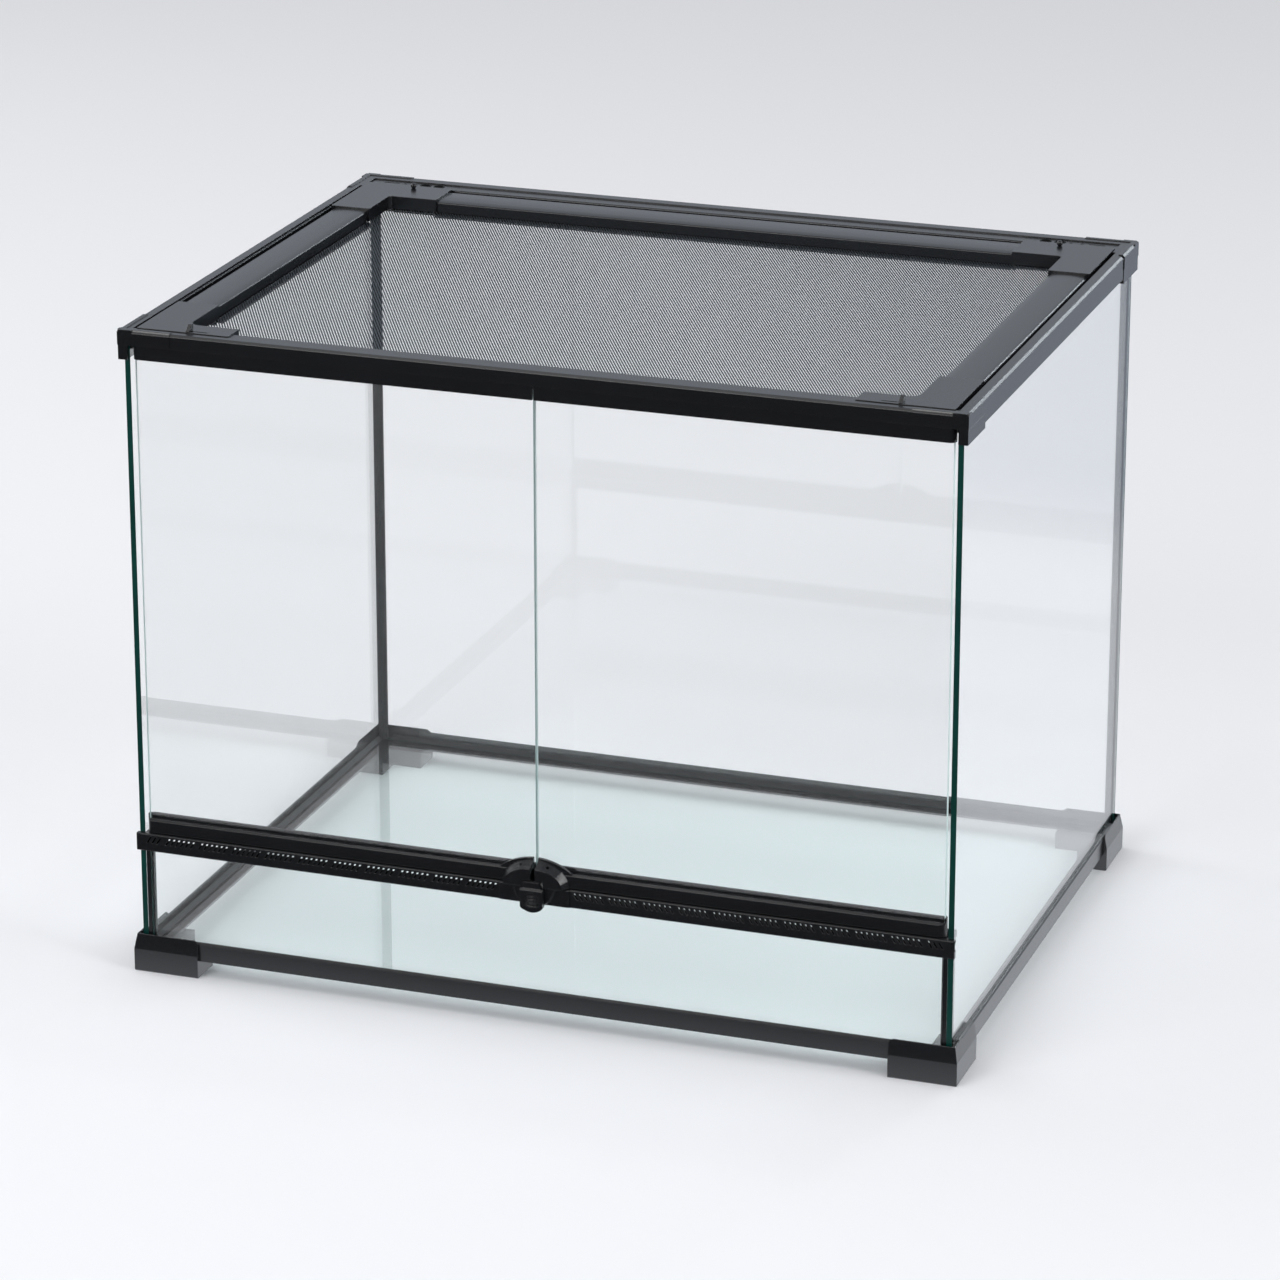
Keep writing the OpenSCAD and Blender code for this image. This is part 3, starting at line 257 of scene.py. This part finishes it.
# Moulded pieces and cut panes have slightly broken edges, in mm, that catch the light
EDGE = {"black_plastic": 0.45, "wall_glass": 0.3, "floor_glass": 0.3}
for part in frame["record"]["subparts"]:
    width = EDGE.get(part["material_slot"])
    if width:
        soft = nodes[part["node"]].modifiers.new("broken_edges", "BEVEL")
        soft.width = width * MM
        soft.segments = 2
        soft.limit_method = "ANGLE"
        soft.angle_limit = math.radians(40)
        soft.harden_normals = True


# ---------- lid mesh ----------

def wire_field(low, high, heading, pitch, radius, height, first):
    """Straight wires at one heading that fill a rectangle, each a six-sided bar: (verts, faces)."""
    sides = 6
    run = Vector((math.cos(heading), math.sin(heading)))
    step = Vector((-run.y, run.x))
    centre = (Vector(low) + Vector(high)) / 2
    half = (Vector(high) - Vector(low)) / 2
    reach = abs(step.x) * half.x + abs(step.y) * half.y
    count = int(reach / pitch)
    verts, faces = [], []
    for k in range(-count, count + 1):
        at = centre + step * (k * pitch)
        spans = []
        for axis in (0, 1):
            a = (centre[axis] - half[axis] - at[axis]) / run[axis]
            b = (centre[axis] + half[axis] - at[axis]) / run[axis]
            spans.append((min(a, b), max(a, b)))
        start, end = max(s[0] for s in spans), min(s[1] for s in spans)
        if end - start < pitch:
            continue
        base = first + len(verts)
        for t in (start, end):
            p = at + run * t
            for j in range(sides):
                a = math.tau * j / sides
                side = step * (radius * math.cos(a))
                verts.append((p.x + side.x, p.y + side.y, height + radius * math.sin(a)))
        for j in range(sides):
            n = (j + 1) % sides
            faces.append((base + j, base + n, base + sides + n, base + sides + j))
        faces.append(tuple(base + j for j in reversed(range(sides))))
        faces.append(tuple(base + sides + j for j in range(sides)))
    return verts, faces


def fine_mesh():
    """The lid's steel mesh: close wires set on the slant, over hair-thin cross wires welded to them."""
    low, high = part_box("lid_mesh")
    margin = 0.6 * MM
    near = (low.x + margin, low.y + margin)
    far = (high.x - margin, high.y - margin)
    slant = math.atan2(-0.88, 0.47)
    pitch = 1.85 * MM
    wire = 0.54 * MM
    hair = 0.08 * MM
    top = high.z - wire
    verts, faces = wire_field(near, far, slant, pitch, wire, top, 0)
    more, cross = wire_field(near, far, slant + math.pi / 2, 2 * pitch, hair, top - wire, len(verts))
    return mesh_object("fine_wire_mesh", verts + more, faces + cross, mesh_steel)


# ---------- lid bars ----------

# Width of the ledge inside each bar that carries the wire mesh
LEDGE = 5 * MM


def bar_section(width, low, top):
    """Section of a lid bar, from its inner edge outwards: a ledge for the wire mesh, a slightly
    crowned top and a full round outer edge over an upright side; open below."""
    ledge_low = low + 1.4 * MM
    ledge_high = low + 3.4 * MM
    inner_top = top - 1.6 * MM
    wall = 2 * MM
    crown = 0.5 * MM
    nose = 3 * MM
    steps = 8
    middle = width * 0.45
    flat_end = width - nose
    points = [(-LEDGE, ledge_low), (-LEDGE, ledge_high), (0, ledge_high),
              (0, inner_top), (0.5 * MM, top - 0.9 * MM)]
    for k in range(1, steps + 1):
        u = flat_end * k / steps
        points.append((u, top - crown * ((u - middle) / middle) ** 2))
    height = points[-1][1]
    for k in range(1, steps + 1):
        a = math.pi / 2 * k / steps
        points.append((flat_end + nose * math.sin(a), height - nose * (1 - math.cos(a))))
    points += [(width, low), (width - wall, low), (width - wall, height - nose),
               (flat_end, height - wall), (wall, inner_top - wall), (wall, ledge_low)]
    return points


def extruded(name, section, start, end, place, material):
    """A section drawn in (u, z) and drawn out from start to end; place(u, along, z) gives each point."""
    count = len(section)
    verts = [place(u, along, z) for along in (start, end) for u, z in section]
    faces = [(i, (i + 1) % count, count + (i + 1) % count, count + i) for i in range(count)]
    faces += [tuple(reversed(range(count))), tuple(range(count, 2 * count))]
    made = mesh_object(name, verts, faces, material)
    form = bmesh.new()
    form.from_mesh(made.data)
    bmesh.ops.recalc_face_normals(form, faces=form.faces)
    form.to_mesh(made.data)
    form.free()
    made.data.shade_smooth()
    made.data.set_sharp_from_angle(angle=math.radians(30))
    return made


def lid_bar(node, name, place, width, start, end):
    """One bar of the lid in place of the solid's, which has a sloped side."""
    low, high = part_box(node)
    section = bar_section(width, low.z, high.z)
    bar = extruded(name, section, start, end, place, abs_black)
    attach(bar, "lid")
    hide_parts(node)


for side, sign in (("left", -1), ("right", 1)):
    low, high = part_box("lid_%s_bar" % side)
    edges = sorted((abs(low.x), abs(high.x)))
    inner = edges[0] + LEDGE
    lid_bar("lid_%s_bar" % side, "moulded_%s_bar" % side,
            lambda u, along, z: (sign * (inner + u), along, z), edges[1] - inner, low.y, high.y)
low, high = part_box("lid_rear_bar")
inner = low.y + LEDGE
lid_bar("lid_rear_bar", "moulded_rear_bar",
        lambda u, along, z: (along, inner + u, z), high.y - inner, low.x, high.x)


# ---------- latch spring and lid mesh ----------

# The latch spring is drawn as a copy of its own, fixed to the frame
low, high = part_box("latch_spring")
coil = bpy.data.objects.new("coil_spring", nodes["latch_spring"].data.copy())
scene.collection.objects.link(coil)
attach(coil, "frame")
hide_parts("latch_spring")
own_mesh(coil)

mesh = fine_mesh()
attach(mesh, "lid")
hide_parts("lid_mesh")


# ---------- floor, lights, camera ----------

def span(tree, value, low, high):
    """Rises smoothly from 0 at low to 1 at high."""
    return add(tree, "MapRange", {0: value, 1: low, 2: high, 3: 0.0, 4: 1.0},
               interpolation_type="SMOOTHSTEP").outputs[0]


def mirrored(tree):
    """1 where a glossy surface looks at its surroundings, 0 for what is seen straight or through glass."""
    path = add(tree, "LightPath")
    return add(tree, "Math", {0: path.outputs["Is Glossy Ray"], 1: path.outputs["Is Transmission Ray"]},
               operation="SUBTRACT", use_clamp=True).outputs[0]


def studio_floor():
    """Wide sweep of matt paper. In gloss it shows a painted reflection instead, a glow seen in reflections
    only and blind to its shadows: dark in front, which keeps the front faces black, pale around the
    object and blue-grey a metre behind."""
    made, tree = new_material("matt_paper_sweep")
    place = add(tree, "TexCoord").outputs["Object"]
    depth = add(tree, "SeparateXYZ", {0: place}).outputs["Y"]
    far = add(tree, "MapRange", {0: depth, 1: -0.3, 2: 2.3, 3: 0.0, 4: 1.0})
    paper = add(tree, "Mix", {0: far.outputs[0], 6: linear("#edeef2"), 7: linear("#f1f2f6")},
                data_type="RGBA")
    behind = add(tree, "Mix", {0: span(tree, depth, 0.8, 1.15), 6: linear("#f4f8ff"),
                               7: linear("#bcc4d2")}, data_type="RGBA")
    around = add(tree, "Mix", {0: span(tree, depth, -0.34, -0.2), 6: linear("#2c2e32"),
                               7: behind.outputs[2]}, data_type="RGBA")
    surface = add(tree, "BsdfPrincipled", {
        "Base Color": paper.outputs[2], "Roughness": 0.95, "Specular IOR Level": 0.1})
    # Painted reflection: the floor glows in reflections only, dark in front and pale near the object,
    # whatever its real shading
    painted_floor_reflection = add(tree, "Emission", {"Color": around.outputs[2], "Strength": 1.0})
    both = add(tree, "MixShader", {0: mirrored(tree), 1: surface.outputs[0], 2: painted_floor_reflection.outputs[0]})
    add(tree, "OutputMaterial", {"Surface": both.outputs[0]})
    made.cycles.emission_sampling = "NONE"  # it shows in gloss only, and lights nothing
    reach = 14.0
    corners = [(-reach, -reach, 0), (reach, -reach, 0), (reach, reach, 0), (-reach, reach, 0)]
    mesh_object("floor_sweep", corners, [(0, 1, 2, 3)], made)


def studio_world():
    """Even white light. The camera and clear glass see a pale backdrop, and gloss sees the room: dark
    in front, grey behind."""
    world = bpy.data.worlds.new("studio")
    scene.world = world
    world.use_nodes = True
    tree = world.node_tree
    tree.nodes.clear()
    path = add(tree, "LightPath")
    way = add(tree, "SeparateXYZ", {0: add(tree, "TexCoord").outputs["Generated"]})
    room = add(tree, "Mix", {0: span(tree, way.outputs["Y"], -0.35, 0.3), 6: linear("#26282c"),
                             7: linear("#c3cad4")}, data_type="RGBA")
    shown = add(tree, "Mix", {0: mirrored(tree), 6: linear("#e6e7eb"), 7: room.outputs[2]},
                data_type="RGBA")
    direct = add(tree, "Math", {0: path.outputs["Is Camera Ray"], 1: path.outputs["Is Transmission Ray"]},
                 operation="MAXIMUM")
    seen = add(tree, "Math", {0: direct.outputs[0], 1: path.outputs["Is Glossy Ray"]},
               operation="MAXIMUM")
    ambient = add(tree, "Background", {"Color": linear("#ffffff"), "Strength": 0.55})
    backdrop = add(tree, "Background", {"Color": shown.outputs[2], "Strength": 1.0})
    both = add(tree, "MixShader", {0: seen.outputs[0], 1: ambient.outputs[0], 2: backdrop.outputs[0]})
    add(tree, "OutputWorld", {"Surface": both.outputs[0]})


def area_lamp(name, place, target, size, power, spread=180, tint=(1, 1, 1)):
    """A softbox of that width and height in metres, turned towards target; power in watts."""
    data = bpy.data.lights.new(name, "AREA")
    data.shape = "RECTANGLE"
    data.size, data.size_y = size
    data.energy = power
    data.spread = math.radians(spread)
    data.color = tint
    lamp = bpy.data.objects.new(name, data)
    lamp.location = place
    lamp.rotation_euler = (Vector(target) - Vector(place)).to_track_quat("-Z", "Y").to_euler()
    lamp.visible_transmission = False  # keeps its picture out of the panes' inner reflections
    scene.collection.objects.link(lamp)


studio_floor()
studio_world()

MIDDLE = (0, 0, 0.2)
RIGHT_EDGE = (0.3, 0, 0.476)
KEY_DISTANCE = 3.4
KEY_WAY = (0.155, 0.225, 0.962)
area_lamp("overhead_softbox", (-1.4, -1.4, 4.3), MIDDLE, (1.4, 1.4), 8)
area_lamp("front_softbox", (-1.3, -3.4, 2.4), MIDDLE, (2.0, 2.0), 54)
area_lamp("right_softbox", (3.4, -0.6, 2.2), MIDDLE, (1.8, 1.8), 54)
area_lamp("left_softbox", (-3.4, 0.4, 2.2), MIDDLE, (1.8, 1.8), 40)
area_lamp("key_rear_right", tuple(c * KEY_DISTANCE for c in KEY_WAY), MIDDLE, (0.34, 0.34), 5)
# A far, narrow strip that draws the thin light line along the right top edge
area_lamp("edge_strip", (3.40, 10.95, 4.28), RIGHT_EDGE, (0.7, 2.7), 4.5, spread=50,
          tint=(0.86, 0.94, 1.0))

# The camera looks down by its pitch, from the right by its heading
PITCH = 18.18
HEADING = 19.21
lens = bpy.data.cameras.new("product_camera")
lens.sensor_width = 36.0
lens.lens = 144.0
lens.shift_y = -0.1
camera = bpy.data.objects.new("product_camera", lens)
camera.location = (1.146, -3.293, 1.452)
camera.rotation_euler = (math.radians(90 - PITCH), 0.0, math.radians(HEADING))
scene.collection.objects.link(camera)
scene.camera = camera

scene.view_settings.view_transform = "Standard"
